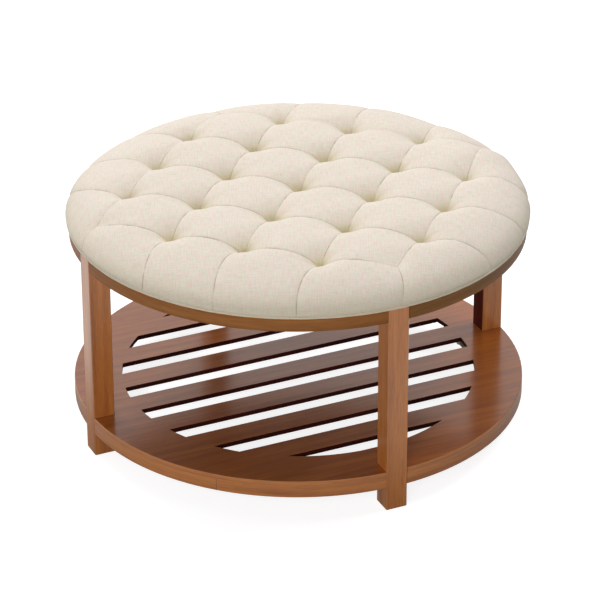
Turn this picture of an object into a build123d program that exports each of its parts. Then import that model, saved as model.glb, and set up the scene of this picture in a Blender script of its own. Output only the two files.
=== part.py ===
from build123d import *
from math import atan2, cos, hypot, pi, radians, sin, sqrt, tan
import os

os.makedirs("parts", exist_ok=True)

# Driving dimensions, millimetres. +Z is up, the floor is z = 0, the table's axis is the Z axis.
# The legs stand on the X and Y axes and the shelf's slots run along X.

# Frame
frame_radius = 425.0  # outside of both rings and of the shelf
leg_width = 41.0  # square legs, flush with the rings
leg_edge = 1.5  # chamfer along a leg's four long edges
foot_clearance = 46.0  # floor to the underside of the shelf's rim
rim_height = 24.0  # ring of wood under the shelf panel
storage_height = 304.0  # shelf top to the underside of the seat ring
ring_height = 26.0  # ring of wood under the seat
eased_edge = 0.8
leg_stations = {"right": 0.0, "back": 90.0, "left": 180.0, "front": 270.0}

# Shelf panel
panel_thickness = 9.0
slot_count = 8
slot_width = 38.0
slot_border = 90.0  # whole wood outside the circle that the slots end on
outer_slot_share = 0.94  # middle line of the outermost slots, as a share of that circle's radius
notch_clearance = 0.25

# Blocks behind the legs
block_depth = 40.0
block_span = 132.0
block_recess = 2.0  # underside of a block above the underside of its ring

# Rails across the seat ring
rail_width = 44.0
rail_angle = 45.0
rail_recess = 2.0

# Seat board and what lies on and under it
board_setback = 3.0  # board's edge inside the frame's outside
board_thickness = 15.0
dust_cover_thickness = 1.0
slab_thickness = 8.0
slab_setback = 24.0  # slab's edge inside the frame's outside, clear of the rounded shoulder

# Cushion
cushion_height = 68.0  # seat ring to the top of the crown
crown_drop = 27.0  # fall of the crown from the centre to the frame's radius
cushion_overhang = 5.0  # widest place of the cushion outside the frame
tuft_pitch = 97.0  # half a diagonal of the diamond pattern
tuft_cover = 5.0  # cover and filling left between a tuft and the slab
pleat_depth = 6.0
junction_radius = 361.0  # where two pleats meet and go over the side as one
junction_depth = 8.0
shoulder_setback = 22.0  # the shoulder starts this far inside the frame's radius
shoulder_height = 37.0  # and this far above the seat ring
shoulder_slope = 27.0  # degrees that the crown falls by where the shoulder starts
crest_share = 0.6  # share of the way to the shoulder at which a lobe is roundest
side_pleat_depth = 4.0
skirt_pleat_depth = 1.0
widest_height = 9.0  # widest place above the seat ring
skirt_setback = 3.0  # foot of the cushion's side inside its widest place
outer_pleat_turn = 26.0  # plan angle from the nearest leg axis where a corner pleat reaches the rim
lattice_reach = 3  # rows of tufts on each side of the centre
quilt_steps = 4  # facets along each pleat
side_steps = 3  # facets over the crest of a lobe, and again over its shoulder

# Welt
welt_diameter = 5.0
welt_sides = 8

# Joinery and fasteners
tenon_thickness = 8.0
tenon_height = 12.0
tenon_to_bolt = 1.5  # wood left between a tenon and the bolt beside it
rail_tenon_width = 24.0
rail_tenon_length = 22.0
bolt_diameter = 8.0
bolt_grip_share = 0.68  # depth of a bolt in a leg, as a share of the leg's width
bolt_head_diameter = 17.0
bolt_head_height = 3.5

# Overruns
cut_overrun = 5.0

# Levels that follow from the driving dimensions
rim_top = foot_clearance + rim_height
shelf_top = rim_top + panel_thickness
ring_bottom = shelf_top + storage_height
ring_top = ring_bottom + ring_height
board_bottom = ring_top + dust_cover_thickness
board_top = board_bottom + board_thickness
slab_top = board_top + slab_thickness
tuft_level = slab_top + tuft_cover
cushion_top = ring_top + cushion_height
leg_half = leg_width / 2
leg_inner = frame_radius - leg_width
ring_inner_radius = hypot(leg_inner, leg_half)  # the ring's inside meets the legs' inner corners
ring_outer_reach = sqrt(frame_radius**2 - leg_half**2)
ring_middle = leg_inner + leg_width / 2
board_radius = frame_radius - board_setback
slab_radius = frame_radius - slab_setback
welt_line = frame_radius + cushion_overhang - skirt_setback
welt_seat_radius = welt_line - welt_diameter / 2
welt_level = ring_top + welt_diameter / 2
slot_field_radius = frame_radius - slot_border
slot_pitch = 2 * slot_field_radius * outer_slot_share / (slot_count - 1)
tenon_length = 2 * (leg_half - bolt_diameter / 2 - tenon_to_bolt)
bolt_grip_in_leg = leg_width * bolt_grip_share
ring_levels = ((foot_clearance + rim_top) / 2, (ring_bottom + ring_top) / 2)


def turned(point, degrees):
    """A plan point turned about the table's axis."""
    turn = radians(degrees)
    x, y = point
    return (x * cos(turn) - y * sin(turn), x * sin(turn) + y * cos(turn))


def between(start, end, share):
    """The plan point at a share of the way from start to end."""
    return (start[0] + (end[0] - start[0]) * share, start[1] + (end[1] - start[1]) * share)


def plan_angle(point):
    return atan2(point[1], point[0]) * 180 / pi


def radial_plane(radius, degrees, level):
    """A plane that faces outward at a plan angle: its x is tangential and its y is height."""
    origin, out, tangent = (turned(way, degrees) for way in ((radius, 0), (1, 0), (0, 1)))
    return Plane(origin=(*origin, level), x_dir=(*tangent, 0), z_dir=(*out, 0))


def tangential_plane(radius, degrees, level):
    """A plane that faces along the ring at a plan angle: its x is radial and its y is height."""
    origin, out, tangent = (turned(way, degrees) for way in ((radius, 0), (1, 0), (0, 1)))
    return Plane(origin=(*origin, level), x_dir=(*out, 0), z_dir=(-tangent[0], -tangent[1], 0))


# Legs: square, with mortises and bolt holes at the level of each ring
for station, turn in leg_stations.items():
    with BuildPart() as leg:
        with BuildSketch(Plane.XY):
            with Locations((ring_middle, 0)):
                Rectangle(leg_width, leg_width)
        extrude(amount=ring_top)
        chamfer(leg.edges().filter_by(Axis.Z), length=leg_edge)
        chamfer(leg.faces().sort_by(Axis.Z)[0].edges(), length=eased_edge)
        for level in ring_levels:
            with Locations(Plane(origin=(leg_inner, 0, level), z_dir=(-1, 0, 0))):
                Hole(radius=bolt_diameter / 2, depth=bolt_grip_in_leg)
            for side in (-1, 1):
                with Locations((ring_middle, side * leg_half, level)):
                    Box(tenon_thickness, tenon_length, tenon_height, mode=Mode.SUBTRACT)
    leg_part = leg.part.rotate(Axis.Z, turn)
    leg_part.label = f"leg_{station}"
    export_step(leg_part, f"parts/leg_{station}.step")


# Rings: eight segments each, from a leg's side to the joint half way to the next leg
def ring_segment(bottom, height, side, with_rail):
    """One segment beside the leg on +X, on its +Y side or, with side -1, on its -Y side."""
    level = bottom + height / 2
    with BuildPart() as segment:
        with BuildSketch(Plane.XY.offset(bottom)):
            with BuildLine():
                inner_start, outer_start = (leg_inner, leg_half), (ring_outer_reach, leg_half)
                outer_end = turned((frame_radius, 0), rail_angle)
                inner_end = turned((ring_inner_radius, 0), rail_angle)
                Line(inner_start, outer_start)
                RadiusArc(outer_start, outer_end, -frame_radius)
                Line(outer_end, inner_end)
                RadiusArc(inner_end, inner_start, ring_inner_radius)
            make_face()
        extrude(amount=height)
        rims = segment.edges().filter_by(GeomType.CIRCLE).group_by(Axis.Z)[0]
        chamfer(rims.sort_by(SortBy.RADIUS)[-1], length=eased_edge)
        with Locations((ring_middle, leg_half, level)):
            Box(tenon_thickness, tenon_length, tenon_height, mode=Mode.SUBTRACT)
        with Locations(tangential_plane(ring_middle, rail_angle, level)):
            Box(tenon_thickness, tenon_height, tenon_length, mode=Mode.SUBTRACT)
        if with_rail:
            with Locations(radial_plane(ring_inner_radius, rail_angle, level)):
                Box(rail_tenon_width, tenon_height, rail_tenon_length, mode=Mode.SUBTRACT)
    if side > 0:
        return segment.part
    return segment.part.mirror(Plane.XZ)


for ring_name, bottom, height in (
    ("shelf_rim", foot_clearance, rim_height),
    ("seat_ring", ring_bottom, ring_height),
):
    number = 0
    for station, turn in leg_stations.items():
        for side in (1, -1):
            number = number + 1
            segment_part = ring_segment(bottom, height, side, ring_name == "seat_ring")
            segment_part = segment_part.rotate(Axis.Z, turn)
            segment_part.label = f"{ring_name}_segment_{number}"
            export_step(segment_part, f"parts/{segment_part.label}.step")


# Shelf panel: a disc on the rim, notched for the legs, with parallel slots that end on a circle
with BuildSketch() as slots:
    with GridLocations(slot_pitch, slot_pitch, 1, slot_count):
        Rectangle(2 * slot_field_radius, slot_width)
    Circle(slot_field_radius, mode=Mode.INTERSECT)

with BuildPart() as shelf_panel:
    with BuildSketch(Plane.XY.offset(rim_top)):
        Circle(frame_radius)
        with PolarLocations(ring_middle, len(leg_stations)):
            Rectangle(leg_width + 2 * notch_clearance, leg_width + 2 * notch_clearance, mode=Mode.SUBTRACT)
        notch_mouth = leg_width / 2
        with PolarLocations(frame_radius, len(leg_stations)):
            Rectangle(notch_mouth, leg_width + 2 * notch_clearance, mode=Mode.SUBTRACT)
        add(slots.sketch, mode=Mode.SUBTRACT)
    extrude(amount=panel_thickness)
    top_arcs = shelf_panel.edges().filter_by(GeomType.CIRCLE).group_by(Axis.Z)[-1]
    chamfer(top_arcs.group_by(SortBy.RADIUS)[-1], length=eased_edge)
shelf_panel.part.label = "shelf_panel"
export_step(shelf_panel.part, "parts/shelf_panel.step")


# Blocks behind the legs, glued into the ring and bored for the bolt that holds the leg
def block(bottom, height):
    """A block behind the leg on +X: flat against the leg, round against the ring."""
    with BuildPart() as corner:
        with BuildSketch(Plane.XY.offset(bottom + block_recess)):
            Circle(ring_inner_radius)
            with Locations((leg_inner - block_depth / 2, 0)):
                Rectangle(block_depth, block_span, mode=Mode.INTERSECT)
        extrude(amount=height - block_recess)
        with Locations(Plane(origin=(leg_inner - block_depth, 0, bottom + height / 2), z_dir=(-1, 0, 0))):
            Hole(radius=bolt_diameter / 2)
    return corner.part


for level_name, bottom, height in (
    ("shelf", foot_clearance, rim_height),
    ("seat", ring_bottom, ring_height),
):
    for station, turn in leg_stations.items():
        block_part = block(bottom, height).rotate(Axis.Z, turn)
        block_part.label = f"{level_name}_block_{station}"
        export_step(block_part, f"parts/{block_part.label}.step")


# Rails across the seat ring, halved over each other at the centre
def rail(angle, keeps_top):
    """A rail along the angle, round at both ends to fit the ring, with half its height cut away."""
    rail_bottom = ring_bottom + rail_recess
    rail_height = ring_height - rail_recess
    middle = rail_bottom + rail_height / 2
    with BuildPart() as bar:
        with BuildSketch(Plane.XY.offset(rail_bottom)):
            Circle(ring_inner_radius)
            Rectangle(2 * ring_inner_radius, rail_width, mode=Mode.INTERSECT)
        extrude(amount=rail_height)
        lap_bottom = rail_bottom - cut_overrun if keeps_top else middle
        with BuildSketch(Plane.XY.offset(lap_bottom)):
            Rectangle(rail_width, rail_width + cut_overrun)
        extrude(amount=rail_height / 2 + cut_overrun, mode=Mode.SUBTRACT)
        for end in (0, 180):
            with Locations(radial_plane(ring_inner_radius, end, ring_levels[1])):
                Box(rail_tenon_width, tenon_height, rail_tenon_length, mode=Mode.SUBTRACT)
    return bar.part.rotate(Axis.Z, angle)


for rail_name, angle, keeps_top in (
    ("seat_rail_upper", rail_angle, True),
    ("seat_rail_lower", rail_angle + 90.0, False),
):
    rail_part = rail(angle, keeps_top)
    rail_part.label = rail_name
    export_step(rail_part, f"parts/{rail_name}.step")


# Loose tenons of the legs, of the ring joints and of the rail ends, and the bolts of the legs
with BuildPart() as leg_tenons:
    for level in ring_levels:
        for turn in leg_stations.values():
            for side in (-1, 1):
                x, y = turned((ring_middle, side * leg_half), turn)
                with Locations(Location((x, y, level), (0, 0, turn))):
                    Box(tenon_thickness, tenon_length, tenon_height)
leg_tenons.part.label = "leg_tenons"
export_step(leg_tenons.part, "parts/leg_tenons.step")

with BuildPart() as ring_tenons:
    for level in ring_levels:
        for turn in leg_stations.values():
            with Locations(tangential_plane(ring_middle, turn + rail_angle, level)):
                Box(tenon_thickness, tenon_height, tenon_length)
ring_tenons.part.label = "ring_tenons"
export_step(ring_tenons.part, "parts/ring_tenons.step")

with BuildPart() as rail_tenons:
    for turn in leg_stations.values():
        with Locations(radial_plane(ring_inner_radius, turn + rail_angle, ring_levels[1])):
            Box(rail_tenon_width, tenon_height, rail_tenon_length)
rail_tenons.part.label = "rail_tenons"
export_step(rail_tenons.part, "parts/rail_tenons.step")

with BuildPart() as leg_bolts:
    for level in ring_levels:
        for turn in leg_stations.values():
            under_head = radial_plane(leg_inner - block_depth, turn, level)
            with BuildSketch(under_head):
                Circle(bolt_diameter / 2)
            extrude(amount=block_depth + bolt_grip_in_leg)
            with BuildSketch(under_head):
                Circle(bolt_head_diameter / 2)
            extrude(amount=-bolt_head_height)
leg_bolts.part.label = "leg_bolts"
export_step(leg_bolts.part, "parts/leg_bolts.step")


# Seat: dust cover, board and slab, one on the other
def disc(name, radius, bottom, thickness):
    with BuildPart() as layer:
        with BuildSketch(Plane.XY.offset(bottom)):
            Circle(radius)
        extrude(amount=thickness)
    layer.part.label = name
    export_step(layer.part, f"parts/{name}.step")


disc("dust_cover", board_radius - board_setback, ring_top, dust_cover_thickness)
disc("seat_board", board_radius, board_bottom, board_thickness)
disc("foam_slab", slab_radius, board_top, slab_thickness)


# Tufted cushion: a crowned pillow in each diamond, and a lobe over the side behind each outer pleat.
# A corner is a tuft's column and row, or the place one row further out where two pleats meet.
def crown_level(point):
    """Height of the crown over a plan point: the centre's height less a sixth power of the radius."""
    return cushion_top - crown_drop * (hypot(*point) / frame_radius) ** 6


def is_tuft(corner):
    return max(abs(corner[0]), abs(corner[1])) <= lattice_reach


def corner_point(corner):
    """Plan point of a tuft, or of a junction where two pleats meet beyond the last tufts."""
    if is_tuft(corner):
        return (tuft_pitch * corner[0], tuft_pitch * corner[1])
    return turned((junction_radius, 0), plan_angle(corner))


def corner_place(corner):
    """A tuft's bottom, or the shallower place where two pleats meet."""
    point = corner_point(corner)
    return Vector(*point, tuft_level if is_tuft(corner) else crown_level(point) - junction_depth)


def pleat_middle(start, end):
    """The middle of the pleat between two corners, just under the crown."""
    point = between(corner_point(start), corner_point(end), 0.5)
    return Vector(*point, crown_level(point) - pleat_depth)


def parabola(start, middle, end, share):
    """The place at a share of the way along the parabola through three places."""
    ends = start * ((1 - share) * (1 - 2 * share)) + end * (share * (2 * share - 1))
    return ends + middle * (4 * share * (1 - share))


def bend(start, control, end, share):
    """The place at a share of the way along a curve that leaves and ends toward its control."""
    return start * (1 - share) ** 2 + control * (2 * share * (1 - share)) + end * share**2


def facets(rows):
    """Two triangles in each cell of a net of places."""
    faces = []
    for row, next_row in zip(rows, rows[1:]):
        for a, b, c, d in zip(row, row[1:], next_row[1:], next_row):
            faces = faces + [Face(Wire.make_polygon([a, b, c])), Face(Wire.make_polygon([a, c, d]))]
    return faces


def step_shares(steps):
    return [step / steps for step in range(steps + 1)]


def pillow(corners):
    """Facets through four tufts, the middles of their four pleats and the top of the crown."""
    a, b, c, d = corners
    points = [corner_point(corner) for corner in corners]
    centre = [sum(values) / len(points) for values in zip(*points)]
    top = Vector(*centre, crown_level(centre))
    net = []
    for share in step_shares(quilt_steps):
        first = parabola(corner_place(a), pleat_middle(a, b), corner_place(b), share)
        middle = parabola(pleat_middle(a, d), top, pleat_middle(b, c), share)
        last = parabola(corner_place(d), pleat_middle(d, c), corner_place(c), share)
        net.append([parabola(first, middle, last, other) for other in step_shares(quilt_steps)])
    return facets(net)


def rim_angle(corner):
    """Plan angle at which the pleat from a corner reaches the rim."""
    angle = plan_angle(corner)
    nearest = round(angle / 90) * 90
    if abs(corner[0]) == abs(corner[1]) or 0 in corner:
        return angle
    return nearest + (outer_pleat_turn if angle > nearest else -outer_pleat_turn)


def side_profile(inner, angle, dent, foot_dent):
    """Places that the side's curves run through and toward, from an inner place down to the foot."""
    fall = tan(radians(shoulder_slope))
    widest = frame_radius + cushion_overhang - dent
    shoulder = frame_radius - shoulder_setback - dent / 2
    shoulder_level = ring_top + shoulder_height - dent
    foot = frame_radius + cushion_overhang - skirt_setback - foot_dent
    inner_radius = hypot(inner.X, inner.Y)
    crest = inner_radius + (shoulder - inner_radius) * crest_share
    swing = (plan_angle((inner.X, inner.Y)) - angle + 180) % 360 - 180
    crest_point = turned((crest, 0), angle + swing * (1 - crest_share))
    across = turned((1, 0), angle)
    return [
        inner,
        Vector(*crest_point, shoulder_level + fall * (shoulder - crest)),
        Vector(across[0] * shoulder, across[1] * shoulder, shoulder_level),
        Vector(across[0] * widest, across[1] * widest, shoulder_level - fall * (widest - shoulder)),
        Vector(across[0] * widest, across[1] * widest, ring_top + widest_height),
        Vector(across[0] * foot, across[1] * foot, ring_top),
    ]


def lobe(start, end):
    """Facets between two side pleats: the roll of the crown, the shoulder and the side."""
    start_angle, end_angle = rim_angle(start), rim_angle(end)
    middle_angle = start_angle + (end_angle - start_angle) % 360 / 2
    profiles = [
        side_profile(corner_place(start), start_angle, side_pleat_depth, skirt_pleat_depth),
        side_profile(pleat_middle(start, end), middle_angle, 0, 0),
        side_profile(corner_place(end), end_angle, side_pleat_depth, skirt_pleat_depth),
    ]
    net = []
    for share in step_shares(quilt_steps):
        inner, crest, shoulder, drop, widest, foot = [parabola(*places, share) for places in zip(*profiles)]
        roll = [bend(inner, crest, shoulder, other) for other in step_shares(side_steps)]
        turn_down = [bend(shoulder, drop, widest, other) for other in step_shares(side_steps)[1:]]
        net.append([*roll, *turn_down, foot])
    return facets(net)


cells = [
    (column, row)
    for column in range(-lattice_reach, lattice_reach + 1)
    for row in range(-lattice_reach, lattice_reach + 1)
    if (column + row) % 2 == 1 and abs(column) + abs(row) <= lattice_reach
]
quilt = []
for column, row in cells:
    quilt = quilt + pillow(((column - 1, row), (column, row - 1), (column + 1, row), (column, row + 1)))
outline = [(lattice_reach + 1 - step, step) for step in range(lattice_reach + 1)]
for quarter in range(3):
    outline = outline + [(-row, column) for column, row in outline[-lattice_reach - 1 :]]
for place, corner in enumerate(outline):
    quilt = quilt + lobe(outline[place - 1], corner)
feet = ShapeList([edge for face in quilt for edge in face.edges()]).group_by(Axis.Z)[0]
filled_quilt = Solid(Shell([*quilt, Face(Wire(feet))]))

with BuildPart() as tufted_cushion:
    add(filled_quilt)
    with BuildSketch(Plane.XY.offset(ring_top)):
        Circle(board_radius)
    extrude(amount=board_top - ring_top, mode=Mode.SUBTRACT)
    with BuildSketch(Plane.XY.offset(board_top)):
        Circle(slab_radius)
    extrude(amount=slab_thickness, mode=Mode.SUBTRACT)
    with BuildSketch(Plane.XY.offset(ring_top)):
        Circle(frame_radius + cushion_overhang + cut_overrun)
        Circle(welt_seat_radius, mode=Mode.SUBTRACT)
    extrude(amount=welt_diameter, mode=Mode.SUBTRACT)
tufted_cushion.part.label = "tufted_cushion"
export_step(tufted_cushion.part, "parts/tufted_cushion.step")

with BuildPart() as seat_welt:
    with BuildSketch(Plane.XZ):
        with Locations((welt_line, welt_level)):
            RegularPolygon(welt_diameter / 2, welt_sides, major_radius=False, rotation=180 / welt_sides)
    revolve(axis=Axis.Z)
seat_welt.part.label = "seat_welt"
export_step(seat_welt.part, "parts/seat_welt.step")

print("cushion solids", len(tufted_cushion.part.solids()), "volume", round(tufted_cushion.part.volume))
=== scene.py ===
# %% [markdown]
# # A tufted ottoman coffee table
# The table is a round seat on four square legs, with a slatted shelf under it. Its wood is
# close-grained, stained walnut brown and lacquered, and its seat is a linen cover over foam, sewn
# down at tufts in a diamond pattern. The construction comes from the CAD frame, and nothing of it
# moves or changes here. This notebook gives every surface its finish, and makes the cushion and its
# welt as real fabric forms.

# %% The fixed frame
from math import atan2, cos, degrees, pi, radians, sin

import bmesh
import bpy
import numpy as np
from mathutils import Matrix, Vector


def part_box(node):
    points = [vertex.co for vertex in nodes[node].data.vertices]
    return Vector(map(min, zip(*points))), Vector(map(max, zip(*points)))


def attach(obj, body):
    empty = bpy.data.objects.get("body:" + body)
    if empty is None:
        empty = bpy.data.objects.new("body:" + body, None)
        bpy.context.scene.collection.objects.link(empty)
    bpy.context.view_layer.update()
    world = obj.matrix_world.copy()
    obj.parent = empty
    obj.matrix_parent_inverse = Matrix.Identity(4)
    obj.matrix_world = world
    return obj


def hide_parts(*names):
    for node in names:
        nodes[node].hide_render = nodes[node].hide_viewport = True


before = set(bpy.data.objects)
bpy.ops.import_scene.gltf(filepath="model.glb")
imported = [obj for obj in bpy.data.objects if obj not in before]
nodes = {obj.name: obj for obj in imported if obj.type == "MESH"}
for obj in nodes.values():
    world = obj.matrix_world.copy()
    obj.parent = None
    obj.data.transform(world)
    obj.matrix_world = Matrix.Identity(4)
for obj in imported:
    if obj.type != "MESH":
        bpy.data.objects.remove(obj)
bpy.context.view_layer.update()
frame_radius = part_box("leg_right")[1].x
ring_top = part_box("leg_right")[1].z
print("frame radius", round(frame_radius, 4), "ring top", round(ring_top, 4), "nodes", len(nodes))

# %% [markdown]
# ## The camera
# The photograph was taken with a long lens from well back: upright lines hardly converge. A camera
# could be moved by eye until the picture fits, but the legs, the two rings and the shelf's circle
# fix where it stood. So it is placed by a plan angle, a height angle and a distance from the middle
# of the table, and its long focal length keeps the ellipses as flat as they are in the picture.

# %% Camera
image_width = 600
view_azimuth = radians(-24.59)
view_elevation = radians(27.81)
view_roll = radians(-0.218)
distance_in_radii = 14.3475
focal_pixels = 3237.7
centre_pixel = (298.148, 304.759)
sensor_width = 36.0
sight_limit = 50.0

view_distance = distance_in_radii * frame_radius
aim = Vector((0, 0, frame_radius / 2))
backward = Vector((sin(view_azimuth) * cos(view_elevation), -cos(view_azimuth) * cos(view_elevation),
                   sin(view_elevation)))
level_right = Vector((cos(view_azimuth), sin(view_azimuth), 0))
level_up = backward.cross(level_right)
right = level_right * cos(view_roll) + level_up * sin(view_roll)
up = level_up * cos(view_roll) - level_right * sin(view_roll)

camera_data = bpy.data.cameras.new("photo_camera")
camera_data.sensor_width = sensor_width
camera_data.lens = focal_pixels * sensor_width / image_width
camera_data.shift_x = (image_width / 2 - centre_pixel[0]) / image_width
camera_data.shift_y = (centre_pixel[1] - image_width / 2) / image_width
camera_data.clip_end = sight_limit
camera = bpy.data.objects.new("photo_camera", camera_data)
bpy.context.scene.collection.objects.link(camera)
camera_turn = Matrix((right, up, backward)).transposed().to_4x4()
camera.matrix_world = Matrix.Translation(aim + backward * view_distance) @ camera_turn
bpy.context.scene.camera = camera
print("lens", round(camera_data.lens, 1), "mm,", round(view_distance, 2), "m from the table's middle")

# %% [markdown]
# ## Colours and nodes
# Colours are written as sRGB hex values, as a paint chart gives them, and Blender's shaders want
# them linear. One function turns one into the other. Another adds a shader node with its settings
# and links in one call, so that a material reads as a list of what it is made of. The same could be
# clicked together in the shader editor, but a script shows every value in one place.

# %% Helpers for materials
def linear(hex_colour):
    """The linear RGBA of an sRGB hex colour: the sRGB curve undone channel by channel."""
    values = [int(hex_colour[place : place + 2], 16) / 255 for place in (1, 3, 5)]
    curve = [v / 12.92 if v <= 0.04045 else ((v + 0.055) / 1.055) ** 2.4 for v in values]
    return (*curve, 1.0)


def add_node(material, kind, settings=None, links=None, stops=None, **properties):
    """Adds a node to a material or to the world.

    Settings are values by socket name or number, links are (node, output) by socket, stops are the
    (place, hex colour) pairs of a colour ramp, and what else is given is a property of the node.
    """
    node = material.node_tree.nodes.new(kind)
    for name, value in properties.items():
        setattr(node, name, value)
    for socket, value in (settings or {}).items():
        node.inputs[socket].default_value = value
    for socket, (other, output) in (links or {}).items():
        material.node_tree.links.new(other.outputs[output], node.inputs[socket])
    if stops:
        elements = node.color_ramp.elements
        while len(elements) < len(stops):
            elements.new(0.5)
        for element, (place, colour) in zip(elements, stops):
            element.position = place
            element.color = linear(colour)
    return node


def new_material(name):
    """An empty node material with only its output node."""
    material = bpy.data.materials.new(name)
    material.use_nodes = True
    material.node_tree.nodes.clear()
    return material, add_node(material, "ShaderNodeOutputMaterial")


def finish_material(material, output, shader):
    """Links the last shader to the material's output."""
    material.node_tree.links.new(shader.outputs[0], output.inputs["Surface"])
    return material


print("middle grey #808080 is", round(linear("#808080")[0], 3), "in linear light")

# %% [markdown]
# ## Floor, sky and lamps
# The photograph is a studio cut-out on white. Strong lamps could whiten a grey floor, but they
# would burn out the linen. So lamps and sky light the table at a plain level, and the white is only
# what the floor and the sky show to the camera. Lacquered wood mirrors the room, and on this table
# that decides how light each board looks, so mirror rays find a floor and a sky of their own too.
# Blender's Light Path node tells these rays apart.

# %% One look for each kind of ray
white = linear("#ffffff")


def mirrored_glow(material, measure, span, strengths):
    """Light that mirror rays find: over a span of a measure it turns from one strength to another."""
    fade = add_node(material, "ShaderNodeMapRange",
                    {"From Min": span[0], "From Max": span[1],
                     "To Min": strengths[0], "To Max": strengths[1]},
                    {"Value": measure}, interpolation_type="SMOOTHSTEP")
    return add_node(material, "ShaderNodeEmission", {"Color": white}, {"Strength": (fade, 0)})


def by_ray(material, soft, mirrored, seen):
    """One look for soft light, one for mirror rays and one for the camera."""
    path = add_node(material, "ShaderNodeLightPath")
    reflected = add_node(material, "ShaderNodeMixShader",
                         links={"Fac": (path, "Is Glossy Ray"), 1: (soft, 0), 2: (mirrored, 0)})
    direct = add_node(material, "ShaderNodeMath",
                      links={0: (path, "Is Camera Ray"), 1: (path, "Is Transmission Ray")},
                      operation="MAXIMUM")
    return add_node(material, "ShaderNodeMixShader",
                    links={"Fac": (direct, 0), 1: (reflected, 0), 2: (seen, 0)})


print("three looks: soft light, mirror rays, camera")

# %% [markdown]
# The floor is a sheet of matt white paper. To the camera it glows a little, so that it comes out
# white and only a faint shadow stays. To mirror rays it is dim close to the table, where the real
# floor is shaded by the shelf and the seat, and bright further out.

# %% Floor
floor_half = 6.0
paper_grey = "#b4b4b4"
paper_glow = 0.84
mirrored_floor_span = (0.40, 0.76)
mirrored_floor_strengths = (0.22, 1.25)

floor_mesh = bpy.data.meshes.new("floor")
floor_corners = [(-floor_half, -floor_half, 0), (floor_half, -floor_half, 0),
                 (floor_half, floor_half, 0), (-floor_half, floor_half, 0)]
floor_mesh.from_pydata(floor_corners, [], [(0, 1, 2, 3)])
floor = bpy.data.objects.new("floor", floor_mesh)
bpy.context.scene.collection.objects.link(floor)


def paper_material():
    """Matt white paper: it takes a soft shadow, has no shine, and looks near white to the camera."""
    material, output = new_material("matt_white_paper")
    paper = add_node(material, "ShaderNodeBsdfDiffuse", {"Color": linear(paper_grey)})
    glow = add_node(material, "ShaderNodeEmission", {"Color": white, "Strength": paper_glow})
    seen = add_node(material, "ShaderNodeAddShader", links={0: (paper, 0), 1: (glow, 0)})
    space = add_node(material, "ShaderNodeTexCoord")
    distance = add_node(material, "ShaderNodeVectorMath", links={0: (space, "Object")}, operation="LENGTH")
    mirrored = mirrored_glow(material, (distance, "Value"), mirrored_floor_span, mirrored_floor_strengths)
    return finish_material(material, output, by_ray(material, paper, mirrored, seen))


floor.data.materials.append(paper_material())
print("floor", 2 * floor_half, "m wide")

# %% [markdown]
# The sky stands for the white walls of the studio. It is bright behind the table and nearly dark in
# front, which leaves the front faces to the lamps. To mirror rays it is white, except far to the
# right, because the wood that faces there has no white shine. A world can be read by direction,
# which is what its Generated coordinates are.

# %% Sky
sky_behind = 1.34
sky_front = 0.06
sky_colour = "#f6f8ff"
mirrored_sky_span = (0.4, 0.9)
mirrored_sky_strengths = (1.0, 0.12)

world = bpy.data.worlds.new("white_studio")
world.use_nodes = True
world.node_tree.nodes.clear()
sky_out = add_node(world, "ShaderNodeOutputWorld")
sky_space = add_node(world, "ShaderNodeTexCoord")
sky_axes = add_node(world, "ShaderNodeSeparateXYZ", links={0: (sky_space, "Generated")})
sky_share = add_node(world, "ShaderNodeMapRange",
                     {"From Min": 0.0, "From Max": 1.0, "To Min": sky_front, "To Max": sky_behind},
                     {"Value": (sky_axes, "Y")})
sky_light = add_node(world, "ShaderNodeBackground", {"Color": linear(sky_colour)},
                     {"Strength": (sky_share, 0)})
sky_seen = add_node(world, "ShaderNodeBackground", {"Color": white, "Strength": 1.0})
sky_mirrored = mirrored_glow(world, (sky_axes, "X"), mirrored_sky_span, mirrored_sky_strengths)
sky_mix = by_ray(world, sky_light, sky_mirrored, sky_seen)
world.node_tree.links.new(sky_mix.outputs[0], sky_out.inputs["Surface"])
bpy.context.scene.world = world
bpy.context.scene.view_settings.view_transform = "Standard"
print("sky strength from", sky_front, "in front to", sky_behind, "behind")

# %% [markdown]
# Three square lamps shape the table. The key lamp hangs high behind it and models the pillows, one
# at the right lights the faces on that side, and one beside the camera fills the front. They are
# wide, as studio soft boxes are, because a point lamp would cast hard shadows.

# %% Lamps
def soft_lamp(name, place, size, power, colour):
    """A square area lamp at a place, turned toward the middle of the table."""
    data = bpy.data.lights.new(name, "AREA")
    data.shape = "SQUARE"
    data.size = size
    data.energy = power
    data.color = linear(colour)[:3]
    lamp = bpy.data.objects.new(name, data)
    bpy.context.scene.collection.objects.link(lamp)
    lamp_turn = (aim - Vector(place)).to_track_quat("-Z", "Y").to_matrix().to_4x4()
    lamp.matrix_world = Matrix.Translation(place) @ lamp_turn
    print(name, size, "m wide,", power, "W")


soft_lamp("key_lamp", place=(-0.6, 3.8, 4.8), size=1.8, power=144, colour="#fffdfb")
soft_lamp("right_lamp", place=(3.2, 0.0, 4.3), size=2.4, power=92, colour="#ffffff")
soft_lamp("front_lamp", place=(-2.765, -3.95, 2.17), size=2.4, power=106, colour="#ffffff")

# %% [markdown]
# ## The tufted cushion
# Diamond tufting folds a flat cover into pillows. Twine pulls the cover down at each tuft, and the
# spare cloth between two tufts is laid in a pleat. The form could be sculpted, or blown up by cloth
# simulation, but a simulated skin loses the pleats, which are only a few millimetres wide. So the
# net of pleats is laid out first, and each field between them is a function of two parameters. Then
# every crease lies exactly on a mesh line.
#
# Under the net lies a low crown: dished a little in the middle, nearly flat as far as the shoulder,
# and rolled over it to the widest place, which is a finger's breadth above the ring.

# %% The crown
crown_top = 0.4745
crown_dish = 0.0045
dish_radius = 0.30
side_overhang = 0.0052
side_height = 0.0110
crown_roundness = 6.2
shoulder_roundness = 0.62

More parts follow.
